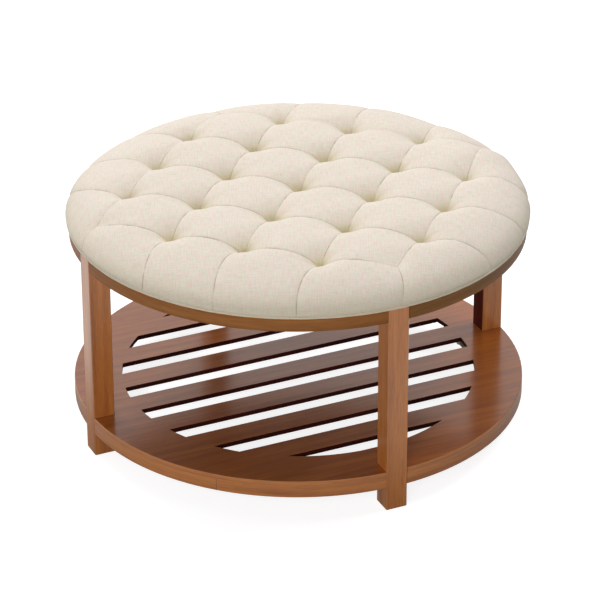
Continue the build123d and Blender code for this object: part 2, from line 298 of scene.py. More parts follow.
widest_radius = frame_radius + side_overhang
widest_level = ring_top + side_height


def crown_level(radius):
    """Height of the crown's skin over a radius.

    From the widest place it rises by a power of what the radius, raised to a high power, leaves of
    one. A shallow parabola is taken off in the middle.
    """
    share = np.clip(1 - (radius / widest_radius) ** crown_roundness, 0, 1)
    dish = crown_dish * np.clip(1 - (radius / dish_radius) ** 2, 0, 1)
    return widest_level + (crown_top - widest_level) * share**shoulder_roundness - dish


print("middle of the crown at", round(float(crown_level(0)), 4), "and widest at", round(widest_level, 4))

# %% [markdown]
# An upholsterer marks the net on the seat board in columns and rows, and sews a tuft at every second
# crossing. Pleats join each tuft to its four nearest neighbours, so the net shows diamonds. Beyond
# the last tufts at the four ends of the lattice, two pleats run together in a junction before they
# reach the side. Sewing by hand is never exact, so some tufts stray from their crossing by a few
# millimetres. A corner is named by its column and row, counted from the middle.

# %% The net of tufts
net_origin = np.array([0.0040, 0.0018])
column_step = np.array([0.0992, -0.0026])
row_step = np.array([-0.0032, 0.0949])
mean_step = 0.097
lattice_reach = 3
# How far a tuft strays along X and Y, by its column and row.
tuft_strays = {(-1, 3): (0.009, -0.001), (3, -1): (-0.002, 0.0095), (-1, -3): (-0.002, -0.0075),
               (-2, 0): (0.0, 0.005), (-2, -2): (-0.0035, -0.004), (-1, 1): (0.0025, 0.004)}
tuft_height = 0.0268
tuft_rise = 0.0047
# Each junction by its distance from the axis and its plan angle.
junctions = {(-4, 0): (0.388, 175.1), (0, -4): (0.362, -85.6), (4, 0): (0.402, 3.7), (0, 4): (0.375, 89.0)}
junction_depth = 0.0075
tuft_level = ring_top + tuft_height
pleat_length = mean_step * 2**0.5


def is_tuft(corner):
    """Whether a corner is a tuft: no further out than the lattice reaches. Else it is a junction."""
    return max(abs(corner[0]), abs(corner[1])) <= lattice_reach


def corner_point(corner):
    """Plan point of a corner: its columns and rows stepped off and its stray added, or its polar place."""
    if is_tuft(corner):
        stray = np.array(tuft_strays.get(corner, (0, 0)))
        return net_origin + corner[0] * column_step + corner[1] * row_step + stray
    radius, angle = junctions[corner]
    return radius * np.array([cos(radians(angle)), sin(radians(angle))])


def corner_level(corner):
    """Height of a corner: tufts rise with the square of the radius, junctions lie just under the crown."""
    radius = np.hypot(*corner_point(corner))
    if is_tuft(corner):
        return tuft_level + tuft_rise * (radius / dish_radius) ** 2
    return float(crown_level(radius)) - junction_depth


def corners_of(cell):
    """The four corners round a pillow, whose own column and row is the crossing between them."""
    column, row = cell
    return (column - 1, row), (column, row - 1), (column + 1, row), (column, row + 1)


counts = range(-lattice_reach, lattice_reach + 1)
cells = [(column, row) for column in counts for row in counts
         if (column + row) % 2 == 1 and abs(column) + abs(row) <= lattice_reach]
outline = [(lattice_reach + 1 - step, step) for step in range(lattice_reach + 1)]
for quarter in range(3):
    outline = outline + [(-row, column) for column, row in outline[-lattice_reach - 1 :]]
tufts = sorted({corner for cell in cells for corner in corners_of(cell) if is_tuft(corner)})
print(len(cells), "pillows,", len(outline), "lobes,", len(tufts), "tufts")

# %% [markdown]
# Cloth leaves a tuft steeply along its pleats and more gently up the middle of a pillow, like the
# inside of a funnel. At a pleat the two sides turn down to each other in a round edge. Two small
# functions say this, with a place in a pillow given from -1 to 1 both ways, and two more blend
# between ends and space the mesh lines.

# %% Fullness and creases
bunching = 0.65
tuft_steepness = 0.95
pleat_steepness = 0.60
crease_sharpness = 4.0
pleat_share = 0.18


def between(first, last, share):
    """The straight blend: the first value at share 0 and the last one at share 1."""
    return first * (1 - share) + last * share


def spaced(count):
    """Shares from 0 to 1, closer at both ends, where cloth bends most: even steps mixed with a cosine."""
    even = np.linspace(0, 1, count + 1)
    return between(even, (1 - np.cos(pi * even)) / 2, bunching)


def fullness(a, b):
    """How far the skin has risen from the tufts: 1 in the middle, 0 at the corners where |a| = |b| = 1.

    It is 1 less the product of both squares, raised to a power that is lower along the edges than
    along the diagonals.
    """
    power = tuft_steepness - (tuft_steepness - pleat_steepness) * np.abs(a**4 - b**4)
    return np.clip(1 - a**2 * b**2, 0, 1) ** power


def crease(a):
    """How far the skin has sunk toward a pleat: 1 on it, by the quarter of a squared-off circle."""
    return 1 - np.sqrt(np.clip(1 - np.abs(a) ** crease_sharpness, 0, 1))


print("half way to a pleat the skin has sunk by", round(float(crease(0.5)), 3), "of the pleat's depth")

# %% [markdown]
# A formula alone looks moulded. Real tufting has small puckers that run into each tuft, filling that
# a hand has laid a little unevenly, and lobes that stand out more or less than their neighbours.
# Random noise could give that, but the photograph shows which lobes stand out, so they are named by
# their plan angle, and waves give the rest.

# %% Marks of handwork
tuft_points = np.array([corner_point(corner) for corner in tufts])
pucker_count = 9
pucker_depth = 0.0016
pucker_reach = 0.013
pucker_turn = 1.9
sway_height = 0.0009
sway_length = 0.085
sway_waves = ((1.3, 0.7, 0.4), (-1.1, 0.9, 2.0))
lean_amount = 0.0030
lean_start = 0.26
lean_band = 0.12
lean_height = 0.025
# Each bulge by its plan angle, its spread in degrees and how far it stands out.
bulges = ((-1, 7, 0.0060), (-16, 12, 0.0015), (27, 8, -0.0035), (54, 20, -0.0016))
bulge_foot = -0.006
bulge_height = 0.022


def puckers(plan):
    """Small folds that run into each tuft: a wave round the tuft, fading with the distance from it."""
    away = plan[..., None, :] - tuft_points
    distance = np.hypot(away[..., 0], away[..., 1])
    turn = np.arctan2(away[..., 1], away[..., 0])
    phase = np.arange(len(tuft_points)) * pucker_turn
    wave = 0.5 + 0.5 * np.cos(pucker_count * turn + phase)
    return (pucker_depth * wave * np.exp(-distance / pucker_reach)).sum(axis=-1)


def sway(plan):
    """Slow unevenness of hand-laid filling: long sine waves that cross."""
    x, y = plan[..., 0] / sway_length, plan[..., 1] / sway_length
    return sway_height * sum(np.sin(by_x * x + by_y * y + start) for by_x, by_y, start in sway_waves)


def lean(plan, level):
    """How far the filling stands out of its even form.

    All round it is more on the right and less on the left, by the cosine of the plan angle. Each
    bulge adds a bell curve over the plan angle. Both set in smoothly outside a radius, and fade
    toward the foot.
    """
    radius = np.hypot(plan[..., 0], plan[..., 1])
    rise = np.clip((radius - lean_start) / lean_band, 0, 1)
    fall = np.clip((level - widest_level) / lean_height, 0, 1)
    stand = lean_amount * plan[..., 0] / np.maximum(radius, lean_start) * fall
    grow = np.clip((level - widest_level - bulge_foot) / bulge_height, 0, 1)
    turn = np.degrees(np.arctan2(plan[..., 1], plan[..., 0]))
    for middle, spread, amount in bulges:
        away = (turn - middle + 180) % 360 - 180
        stand = stand + amount * np.exp(-((away / spread) ** 2)) * grow
    return stand * rise**2 * (3 - 2 * rise)


print("puckers", 1000 * pucker_depth, "mm deep,", len(bulges), "bulges")

# %% [markdown]
# A pillow is the field between four corners. Its plan is the blend of its corners, and its height is
# a share of the way from the tufts up to the crown. On a pleat both neighbours give the same share,
# so their meshes meet exactly. With each patch go its flat plan, which is where its weave lies, how
# far the nearest pleat is, and how deep the skin lies under the crown, which the linen reads later.

# %% Pillows
pillow_cells = 40


def pillow_patch(corners):
    """A pillow: its base is the blend of its corners, and the fullness, less the folds, lifts it."""
    shares = spaced(pillow_cells)
    u, v = np.meshgrid(shares, shares, indexing="ij")
    weights = [(1 - u) * (1 - v), (1 - u) * v, u * v, u * (1 - v)]
    plan = sum(weight[..., None] * corner_point(corner) for weight, corner in zip(weights, corners))
    base = sum(weight * corner_level(corner) for weight, corner in zip(weights, corners))
    a, b = 2 * u - 1, 2 * v - 1
    folds = 1 - (1 - crease(a)) * (1 - crease(b))
    share = fullness(a, b) * (1 - pleat_share * folds)
    crown = crown_level(np.hypot(plan[..., 0], plan[..., 1])) + sway(plan)
    height = base + (crown - base) * share - puckers(plan)
    height = height + lean(plan, height)
    edge = np.minimum(np.minimum(u, 1 - u), np.minimum(v, 1 - v)) * pleat_length
    return np.dstack([plan, height]), plan, edge, crown - height


pillows = [pillow_patch(corners_of(cell)) for cell in cells]
print("highest pillow", round(max(places[..., 2].max() for places, *others in pillows), 4))

# %% [markdown]
# The lobes outside the last pleats share one side profile: the crown's skin rolls over the shoulder,
# stands upright at the widest place, and tucks in under itself at the welt. Each lobe is that
# profile swept from one side pleat to the next. Where a side pleat meets the rim is seen in the
# photograph, so each has its own plan angle there: a steady turn from the nearest leg, plus a small
# stray of its own, and on the way some of them bow a little to one side.

# %% Side pleats
quarter_turn = 90
outer_pleat_turn = 26.0
# Plan angles at the rim of the junctions' pleats, strays of the others, and bows, all in degrees.
rim_angles = {(-4, 0): 180.3, (0, -4): -89.7, (4, 0): 1.5}
rim_turns = {(-3, 1): -4.8, (-3, -1): -0.5, (-1, -3): 1.0, (1, -3): 3.0, (2, -2): 4.0, (3, -1): 3.5}
rim_bows = {(-2, -2): -2.6, (-3, -1): -0.8}
bow_power = 0.8
junction_haste = 0.6
early_haste = 2.2
late_haste = 0.9


def rim_angle(corner):
    """Plan angle in degrees at which the pleat from a corner reaches the rim.

    It is the angle of the corner's column and row, or a steady turn from the nearest leg, plus the
    pleat's own stray.
    """
    if corner in rim_angles:
        return rim_angles[corner]
    angle = degrees(atan2(corner[1], corner[0]))
    nearest = round(angle / quarter_turn) * quarter_turn
    if abs(corner[0]) != abs(corner[1]) and 0 not in corner:
        angle = nearest + (outer_pleat_turn if angle > nearest else -outer_pleat_turn)
    return angle + rim_turns.get(corner, 0)


def turn_haste(corner):
    """How soon a side pleat turns to its plan angle at the rim: a high power is soon after the tuft."""
    if 0 in corner:
        return junction_haste
    return early_haste if abs(corner[1]) >= abs(corner[0]) else late_haste


def side_angles(start, end, shares, inner, run):
    """Plan angle in radians of each place in a lobe.

    At the rim it runs evenly from one side pleat to the next. Inward it swings to the angle of the
    outer pleat, by a power of the way that is left, and a sine bows it aside on that way.
    """
    rim = rim_angle(start) + ((rim_angle(end) - rim_angle(start)) % 360) * shares
    swing = (np.degrees(np.arctan2(inner[:, 1], inner[:, 0])) - rim + 180) % 360 - 180
    haste = between(turn_haste(start), turn_haste(end), shares)
    bow = between(rim_bows.get(start, 0), rim_bows.get(end, 0), shares)
    rim, swing, haste, bow = (values[:, None] for values in (rim, swing, haste, bow))
    return np.radians(rim + swing * (1 - run) ** haste + bow * np.sin(pi * run**bow_power))


print("side pleats at", [round(rim_angle(corner), 1) for corner in outline], "degrees")

# %% [markdown]
# A lobe is sunk along its two side pleats and along the outer pleat behind it. The sinking turns with
# the skin, from downward on the crown to inward on the side. Behind the welt the skin only goes
# straight in and down to the ring. A real cover runs on round the seat board and is stapled under
# it, but nothing is seen of that.

# %% Side lobes
welt_low, welt_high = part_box("seat_welt")
side_pleat_depth = 0.0034
foot_pleat_depth = 0.0010
valley_reach = 0.068
roll_cells = 56
roll_bunching = 1.9
tuck_cells = 14
tuck_depth = 0.0016
tuck_roundness = 2.4
foot_gap = 0.0003
welt_gap = 0.0004
ring_gap = 0.0002
tuck_foot = welt_high.z + foot_gap
under_radius = welt_high.x - (welt_high.z - welt_low.z) - welt_gap
under_level = ring_top + ring_gap


def polar(radius, angle):
    """Plan points from their distance and their angle in radians."""
    return np.dstack([radius * np.cos(angle), radius * np.sin(angle)])


def running_length(places):
    """Length along each row of places from its start: the sum of the straight steps."""
    steps = np.linalg.norm(np.diff(places, axis=1), axis=2)
    return np.hstack([np.zeros((len(places), 1)), np.cumsum(steps, axis=1)])


def side_sink(a, b, depth, plan):
    """How deep a lobe's skin lies: the way down to the pleat behind, plus the folds, less the sway.

    Here a is 1 on the pleat behind and 0 out of its reach, and b is -1 and 1 on the side pleats.
    """
    full = fullness(a, b)
    behind = pleat_share * depth * crease(a)
    beside = between(side_pleat_depth, pleat_share * depth, a) * crease(b)
    folds = behind + beside - beside * crease(a)
    lift = sway(plan) * full * (1 - pleat_share * crease(a)) * a
    return depth * (1 - full) + full * folds - lift + puckers(plan)


def tucked(radius, level, sink, b):
    """The skin from the widest place to the foot: inward by a power of the way, with fading pleats."""
    tuck = np.linspace(0, 1, tuck_cells + 1)[None, 1:]
    foot_sink = sink + (foot_pleat_depth * crease(b) - sink) * tuck
    return radius - tuck_depth * tuck**tuck_roundness - foot_sink, level + (tuck_foot - level) * tuck


def lobe_patch(start, end):
    """The side profile swept from the pleat of one outer corner to that of the next."""
    shares = spaced(pillow_cells)
    column = np.ones((len(shares), 1))
    inner = between(corner_point(start), corner_point(end), shares[:, None])
    inner_radius = np.hypot(inner[:, 0], inner[:, 1])[:, None]
    run = 1 - (1 - np.linspace(0, 1, roll_cells + 1)[None, :]) ** roll_bunching
    radius = inner_radius + (widest_radius - inner_radius) * run
    level = crown_level(radius)
    angle = side_angles(start, end, shares, inner, run)

    a = np.clip(1 - running_length(np.dstack([radius, level])) / valley_reach, 0, 1)
    b = (2 * shares - 1)[:, None]
    base = between(corner_level(start), corner_level(end), shares)[:, None]
    sink = side_sink(a, b, crown_level(inner_radius) - base, polar(radius, angle))
    slope = np.gradient(level, axis=1) / np.gradient(radius, axis=1)
    outward = (1 - a) * -slope / np.sqrt(1 + slope**2)
    radius = radius - sink * outward
    level = level - sink * np.sqrt(1 - outward**2)

    widest = radius[:, -1:] + sink[:, -1:] * outward[:, -1:]
    tuck_radius, tuck_level = tucked(widest, level[:, -1:], sink[:, -1:], b)
    radius, level = np.hstack([radius, tuck_radius]), np.hstack([level, tuck_level])
    angle = np.hstack([angle, np.repeat(angle[:, -1:], tuck_cells, axis=1)])
    outward = np.hstack([outward, np.repeat(column, tuck_cells, axis=1)])
    stand = lean(polar(radius, angle), level)
    radius, level = radius + stand * outward, level + stand * np.sqrt(1 - outward**2)

    radius = np.hstack([radius, under_radius * column, under_radius * column])
    level = np.hstack([level, tuck_foot * column, under_level * column])
    angle = np.hstack([angle, angle[:, -1:], angle[:, -1:]])
    places = np.dstack([polar(radius, angle), level])
    length = running_length(places)
    edge = np.minimum(np.minimum(shares, 1 - shares)[:, None] * pleat_length, length)
    hollow = np.hstack([sink * a, np.zeros((len(shares), tuck_cells + 2))])
    return places, polar(inner_radius + length, angle), edge, hollow


lobes = [lobe_patch(outline[place - 1], outline[place]) for place in range(len(outline))]
print(len(pillows) + len(lobes), "patches")

# %% [markdown]
# The patches are joined into one closed skin. Each brings its own flat coordinates, which unroll the
# cover from the middle of the seat outwards, so that the weave runs on down the side as cloth does.
# Patches that meet share the same places along their pleat, so a merge by distance sews them. At a
# tuft's own point a pucker has no direction, and can leave a step of a millimetre between pillow and
# lobe. That slit, and the ring that stays open over the seat board, are filled with faces. The
# normals are worked out last, on the closed form, so that every face points outwards.

# %% Sewing the patches
merge_distance = 2e-5


def grid_mesh(name, grids):
    """One mesh from several grids of places: each square between four neighbours is a face.

    Its UV map is the flat cloth. Two attributes tell the material how far the nearest pleat is
    and how deep a place lies under the crown.
    """
    faces, offset = [], 0
    for grid, *others in grids:
        rows, columns = grid.shape[:2]
        index = offset + np.arange(rows * columns).reshape(rows, columns)
        quads = np.stack([index[:-1, :-1], index[1:, :-1], index[1:, 1:], index[:-1, 1:]], axis=-1)
        faces.append(quads.reshape(-1, 4))
        offset = offset + rows * columns
    faces = np.concatenate(faces).astype(np.int32)
    places, flows, edges, hollows = (
        np.concatenate([part.reshape(-1, width) for part in parts]).astype(np.float32)
        for parts, width in zip(zip(*grids), (3, 2, 1, 1)))
    mesh = bpy.data.meshes.new(name)
    mesh.vertices.add(len(places))
    mesh.vertices.foreach_set("co", places.ravel())
    mesh.loops.add(faces.size)
    mesh.loops.foreach_set("vertex_index", faces.ravel())
    mesh.polygons.add(len(faces))
    mesh.polygons.foreach_set("loop_start", np.arange(0, faces.size, 4, dtype=np.int32))
    mesh.polygons.foreach_set("loop_total", np.full(len(faces), 4, dtype=np.int32))
    mesh.update(calc_edges=True)
    mesh.uv_layers.new(name="cloth").data.foreach_set("uv", flows[faces.ravel()].ravel())
    for label, values in (("pleat_distance", edges), ("hollow_depth", hollows)):
        mesh.attributes.new(label, "FLOAT", "POINT").data.foreach_set("value", values.ravel())
    return mesh


def sewn_piece(name, grids):
    """One closed, smooth piece from several grids: merged where they meet, filled where they are open."""
    mesh = grid_mesh(name, grids)
    sewing = bmesh.new()
    sewing.from_mesh(mesh)
    bmesh.ops.remove_doubles(sewing, verts=sewing.verts, dist=merge_distance)
    open_edges = [edge for edge in sewing.edges if edge.is_boundary]
    if open_edges:
        bmesh.ops.contextual_create(sewing, geom=open_edges)
    bmesh.ops.recalc_face_normals(sewing, faces=sewing.faces)
    still_open = [edge for edge in sewing.edges if not edge.is_manifold]
    print(name, len(sewing.verts), "places,", len(still_open), "open edges")
    sewing.to_mesh(mesh)
    sewing.free()
    mesh.polygons.foreach_set("use_smooth", np.ones(len(mesh.polygons), dtype=bool))
    piece = bpy.data.objects.new(name, mesh)
    bpy.context.scene.collection.objects.link(piece)
    return piece


cushion = sewn_piece("linen_cushion", pillows + lobes)
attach(cushion, "root")
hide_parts("tufted_cushion")

# %% [markdown]
# ## The welt
# A cord covered in the same linen is sewn round the cushion's foot and hides the staples. A curve
# with a round bevel would make a perfect ring. This one is a torus worked out as a grid, so that a
# slight ripple can run round it, as on a cord that was covered by hand, and so that the weave lies
# along it.

# %% Welt
welt_radius = (welt_high.z - welt_low.z) / 2
welt_line = welt_high.x - welt_radius
welt_fit = 0.97
# Each ripple by its height, how often it comes round the ring, and where it starts.
ripples = ((0.00012, 47, 0), (0.00008, 113, 1))
far_from_pleats = 1.0
ring_steps = 360
cord_steps = 16

around = np.linspace(0, 2 * pi, ring_steps + 1)[:, None]
across = np.linspace(0, 2 * pi, cord_steps + 1)[None, :]
ripple = sum(height * np.sin(around * often + start) for height, often, start in ripples)
thick = welt_radius * welt_fit + ripple
flat = 0 * around + 0 * across
welt_places = np.dstack([polar(welt_line + thick * np.cos(across), around + flat),
                         welt_low.z + welt_radius + thick * np.sin(across)])
welt_flow = np.dstack([around * welt_line + flat, across * welt_radius + flat])
welt = sewn_piece("linen_welt", [(welt_places, welt_flow, far_from_pleats + flat, flat)])
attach(welt, "root")
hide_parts("seat_welt")
print("welt", round(1000 * 2 * welt_radius, 1), "mm thick")

# %% [markdown]
# ## Linen
# Plain-woven linen: flax threads of uneven thickness, one over, one under. The eye sees a matt,
# slightly warm cloth with slubs, the thick stretches of thread that run a few centimetres along warp
# or weft, and patches where the dye took a little more or less. The real threads are about 0.7 mm
# apart, finer than this picture's pixels, so the weave is drawn five times as coarse as it is, and
# very shallow. The cloth was laid with its threads turned about 25 degrees from the legs' axes, so
# the weave is turned by as much. Slubs, dye and weave lie on the UV map, which is the flat cloth.

# %% The flat cloth
real_thread_spacing = 0.00068
weave_coarseness = 5
thread_spacing = weave_coarseness * real_thread_spacing
# At scale 1 a wave texture repeats after this length.
wave_length = 0.314
slub_width = 0.0024
slub_length = 0.022
weave_turn = radians(24.6)
weave_relief = 0.0005
dye_patch = 0.010
dye_tones = ("#fffafc", "#f9fffa")


def flax_threads(material, laid):
    """Slubs of both thread directions: two noises stretched along warp and weft, and their mean."""
    slubs = []
    for size in ((slub_length, slub_width), (slub_width, slub_length)):
        stretch = add_node(material, "ShaderNodeMapping", {"Scale": (1 / size[0], 1 / size[1], 1)},
                           {"Vector": (laid, 0)})
        slubs.append(add_node(material, "ShaderNodeTexNoise", {"Scale": 1.0, "Detail": 3.0, "Roughness": 0.6},
                              {"Vector": (stretch, 0)}, noise_dimensions="2D"))
    both = add_node(material, "ShaderNodeMath", links={0: (slubs[0], 0), 1: (slubs[1], 0)}, operation="ADD")
    return add_node(material, "ShaderNodeMath", {1: 0.5}, {0: (both, 0)}, operation="MULTIPLY")


def flax_colour(material, laid, slubs, tones):
    """The threads' colour: deep to pale by the slubs, times patches of dye."""
    deep, middle, pale = tones
    threads = add_node(material, "ShaderNodeValToRGB", links={"Fac": (slubs, 0)},
                       stops=[(0.34, deep), (0.5, middle), (0.66, pale)])
    blotches = add_node(material, "ShaderNodeTexNoise", {"Scale": 1 / dye_patch, "Detail": 2.0},
                        {"Vector": (laid, 0)}, noise_dimensions="2D")
    dye = add_node(material, "ShaderNodeValToRGB", links={"Fac": (blotches, 0)},
                   stops=[(0.38, dye_tones[0]), (0.62, dye_tones[1])])
    return add_node(material, "ShaderNodeMix", {"Factor": 1.0}, {"A": (threads, 0), "B": (dye, 0)},
                    data_type="RGBA", blend_type="MULTIPLY")


def weave_bump(material, laid, slubs):
    """A shallow relief: the product of two waves, one for each thread direction, plus the slubs."""
    threads = [add_node(material, "ShaderNodeTexWave",
                        {"Scale": wave_length / thread_spacing, "Distortion": 0.6, "Detail": 1.0},
                        {"Vector": (laid, 0)}, bands_direction=direction) for direction in ("X", "Y")]
    weave = add_node(material, "ShaderNodeMath", links={0: (threads[0], 1), 1: (threads[1], 1)},
                     operation="MULTIPLY")
    relief = add_node(material, "ShaderNodeMath", links={0: (weave, 0), 1: (slubs, 0)}, operation="ADD")
    return add_node(material, "ShaderNodeBump", {"Strength": 0.25, "Distance": weave_relief},
                    {"Height": (relief, 0)})


print("threads drawn", round(1000 * thread_spacing, 2), "mm apart")

# %% [markdown]
# Shade and light from the sewn form are painted into the cloth's colour too. Along a pleat lies a
# thin grey line of painted shadow, where the fold's own shadow is finer than the mesh, and it comes
# and goes as the fold opens and closes. Deep in a tuft, light has bounced between cream walls several
# times and comes out yellower, and low on the side it has come up from the brown ring. Blender bounces
# light as well, but at these small depths less than the real cloth shows, so shade and bounced light
# are painted into the cloth there as a deeper, yellower tone. The attributes of the mesh tell the
# material where.

# %% Linen material
pleat_line = 0.0015
pleat_patch = 0.030
# Painted shadow: the grey of the thin line along each pleat.
pleat_shadow_tone = "#c6c0b4"
# Painted shade and bounced light: the deeper, yellower tone deep in the tufts and low on the side.
hollow_shade_tone = "#d0c592"
hollow_depths = (0.005, 0.034)
hollow_most = 0.85
side_heights = (ring_top + 0.002, ring_top + 0.042)
side_most = 0.34


def pleat_shade(material, laid, colour):
    """A painted shadow line along each pleat: by the distance from it, times a slow noise that breaks it up.
    """
    fold = add_node(material, "ShaderNodeAttribute", attribute_name="pleat_distance")
    near = add_node(material, "ShaderNodeMapRange",
                    {"From Min": 0.0, "From Max": pleat_line, "To Min": 1.0, "To Max": 0.0},
                    {"Value": (fold, "Fac")})
    grip_noise = add_node(material, "ShaderNodeTexNoise", {"Scale": 1 / pleat_patch, "Detail": 1.0},
                          {"Vector": (laid, 0)}, noise_dimensions="2D")
    grip = add_node(material, "ShaderNodeMapRange",
                    {"From Min": 0.38, "From Max": 0.62, "To Min": 0.15, "To Max": 1.0},
                    {"Value": (grip_noise, 0)})
    line = add_node(material, "ShaderNodeMath", links={0: (near, 0), 1: (grip, 0)}, operation="MULTIPLY")
    return add_node(material, "ShaderNodeMix", {"B": linear(pleat_shadow_tone)},
                    {"Factor": (line, 0), "A": (colour, "Result")}, data_type="RGBA", blend_type="MULTIPLY")


def hollow_shade(material, colour):
    """Painted shade and bounced light: a yellower tone by the depth under the crown or the lowness on the
    side, whichever is more.
    """
    hollow = add_node(material, "ShaderNodeAttribute", attribute_name="hollow_depth")
    deep = add_node(material, "ShaderNodeMapRange",
                    {"From Min": hollow_depths[0], "From Max": hollow_depths[1], "To Min": 0.0,
                     "To Max": hollow_most}, {"Value": (hollow, "Fac")}, interpolation_type="SMOOTHSTEP")
    space = add_node(material, "ShaderNodeTexCoord")
    height = add_node(material, "ShaderNodeSeparateXYZ", links={0: (space, "Object")})
    low = add_node(material, "ShaderNodeMapRange",
                   {"From Min": side_heights[0], "From Max": side_heights[1], "To Min": side_most,
                    "To Max": 0.0}, {"Value": (height, "Z")})
    most = add_node(material, "ShaderNodeMath", links={0: (deep, 0), 1: (low, 0)}, operation="MAXIMUM")
    return add_node(material, "ShaderNodeMix", {"B": linear(hollow_shade_tone)},
                    {"Factor": (most, 0), "A": (colour, "Result")}, data_type="RGBA", blend_type="MIX")


def linen_material(name, tones):
    """Plain-woven flax: rough, so the eye sees no shine, with a soft sheen from its loose fibres."""
    material, output = new_material(name)
    flow = add_node(material, "ShaderNodeUVMap", uv_map="cloth")
    laid = add_node(material, "ShaderNodeMapping", {"Rotation": (0, 0, weave_turn)}, {"Vector": (flow, "UV")})
    slubs = flax_threads(material, laid)
    colour = pleat_shade(material, laid, flax_colour(material, laid, slubs, tones))
    cloth = add_node(material, "ShaderNodeBsdfPrincipled",
                     {"Roughness": 0.92, "IOR": 1.46, "Sheen Weight": 0.25, "Sheen Roughness": 0.5,
                      "Specular IOR Level": 0.25},
                     {"Base Color": (hollow_shade(material, colour), "Result"),
                      "Normal": (weave_bump(material, laid, slubs), 0)})
    return finish_material(material, output, cloth)


linen = linen_material("plain_woven_linen", ("#e3d5c3", "#ecdfd0", "#f1e6d9"))
cushion.data.materials.append(linen)
welt.data.materials.append(linen)
print("linen with", len(linen.node_tree.nodes), "nodes")

# %% [markdown]
# ## Stained wood
# The frame is close-grained hardwood, sanded, stained walnut brown and lacquered satin. Stain sinks
# unevenly, so the colour drifts between red brown and dark brown in long soft streaks along the
# grain, with fine darker pores over them. A picture of wood could be wrapped round each board, but
# noise that is stretched along the grain has no seams, and it can be turned with each board: up the
# legs, along the shelf's slats and round the rings. For the rings the coordinates are unrolled
# first. Where two boards of the shelf's rim are glued end to end, a thin dark line crosses it.

# %% Wood material
streak_width = 0.016
streak_length = 0.30
# Real pores are about a tenth of a millimetre wide, finer than a pixel, so they are drawn coarser.
pore_width = 0.0014
pore_length = 0.030
pore_strength = 0.36
pore_tone = "#b9b0a8"
pore_relief = 0.0003
seed_slant = 1.7
joint_line = 0.0005
glue_tone = 0.55


def unrolled(material, space):
    """The ring laid out straight: length along the ring, distance from the axis, height."""
    place = add_node(material, "ShaderNodeSeparateXYZ", links={0: (space, "Object")})
    turn = add_node(material, "ShaderNodeMath", links={0: (place, "Y"), 1: (place, "X")}, operation="ARCTAN2")
    along = add_node(material, "ShaderNodeMath", {1: frame_radius}, {0: (turn, 0)}, operation="MULTIPLY")
    away = add_node(material, "ShaderNodeVectorMath", {1: (1, 1, 0)}, {0: (space, "Object")},
                    operation="MULTIPLY")
    out = add_node(material, "ShaderNodeVectorMath", links={0: (away, 0)}, operation="LENGTH")
    return add_node(material, "ShaderNodeCombineXYZ",
                    links={"X": (along, 0), "Y": (out, "Value"), "Z": (place, "Z")})


def glue_line(material, space, colour, joint):
    """A thin dark line across the ring: by the distance from the upright plane at a plan angle."""
    across = (-sin(radians(joint)), cos(radians(joint)), 0)
    away = add_node(material, "ShaderNodeVectorMath", {1: across}, {0: (space, "Object")},
                    operation="DOT_PRODUCT")
    size = add_node(material, "ShaderNodeMath", links={0: (away, "Value")}, operation="ABSOLUTE")
    glue = add_node(material, "ShaderNodeMapRange",
                    {"From Min": joint_line, "From Max": 2 * joint_line, "To Min": glue_tone, "To Max": 1.0},
                    {"Value": (size, 0)})
    return add_node(material, "ShaderNodeMix", {"Factor": 1.0}, {"A": (colour, "Result"), "B": (glue, 0)},
                    data_type="RGBA", blend_type="MULTIPLY")


def wood_material(name, grain, tones, seed, gloss=0.32, shine=0.5, coat=0.25, coat_gloss=0.15, joint=None):
    """Stained, lacquered wood: soft streaks, and fine pores multiplied over them.

    The object's coordinates are turned so that the grain lies along X, then divided by the length
    of a streak along it and by its width across it. The grain is "up", "round" or a plan angle, and
    the seed shifts the pattern. The coat is the lacquer, which gives the eye a clear, narrow shine
    over the broad one of the wood.
    """
    material, output = new_material(name)
    space = add_node(material, "ShaderNodeTexCoord")
    place = (unrolled(material, space), 0) if grain == "round" else (space, "Object")
    turns = {"up": (0, pi / 2, 0), "round": (0, 0, 0)}
    rotation = turns[grain] if grain in turns else (0, 0, -radians(grain))
    turned = add_node(material, "ShaderNodeMapping",
                      {"Rotation": rotation, "Location": (seed, seed * seed_slant, 0)},
                      {"Vector": place}, vector_type="POINT")
    layers = []
    for width, length, detail in ((streak_width, streak_length, 5.0), (pore_width, pore_length, 3.0)):
        stretched = add_node(material, "ShaderNodeMapping", {"Scale": (1 / length, 1 / width, 1 / width)},
                             {"Vector": (turned, 0)})
        layers.append(add_node(material, "ShaderNodeTexNoise",
                               {"Scale": 1.0, "Detail": detail, "Roughness": 0.55, "Distortion": 0.3},
                               {"Vector": (stretched, 0)}))
    streaks = add_node(material, "ShaderNodeValToRGB", links={"Fac": (layers[0], 0)},
                       stops=[(0.28, tones[0]), (0.5, tones[1]), (0.72, tones[2])])
    pores = add_node(material, "ShaderNodeValToRGB", links={"Fac": (layers[1], 0)},
                     stops=[(0.35, pore_tone), (0.55, "#ffffff")])
    colour = add_node(material, "ShaderNodeMix", {"Factor": pore_strength},
                      {"A": (streaks, 0), "B": (pores, 0)}, data_type="RGBA", blend_type="MULTIPLY")
    if joint is not None:
        colour = glue_line(material, space, colour, joint)
    bump = add_node(material, "ShaderNodeBump", {"Strength": 0.08, "Distance": pore_relief},
                    {"Height": (layers[1], 0)})
    lacquer = add_node(material, "ShaderNodeBsdfPrincipled",
                       {"Roughness": gloss, "IOR": 1.5, "Specular IOR Level": shine, "Coat Weight": coat,
                        "Coat Roughness": coat_gloss},
                       {"Base Color": (colour, "Result"), "Normal": (bump, 0)})
    return finish_material(material, output, lacquer)


print("streaks", 1000 * streak_width, "mm wide, pores", 1000 * pore_width, "mm")

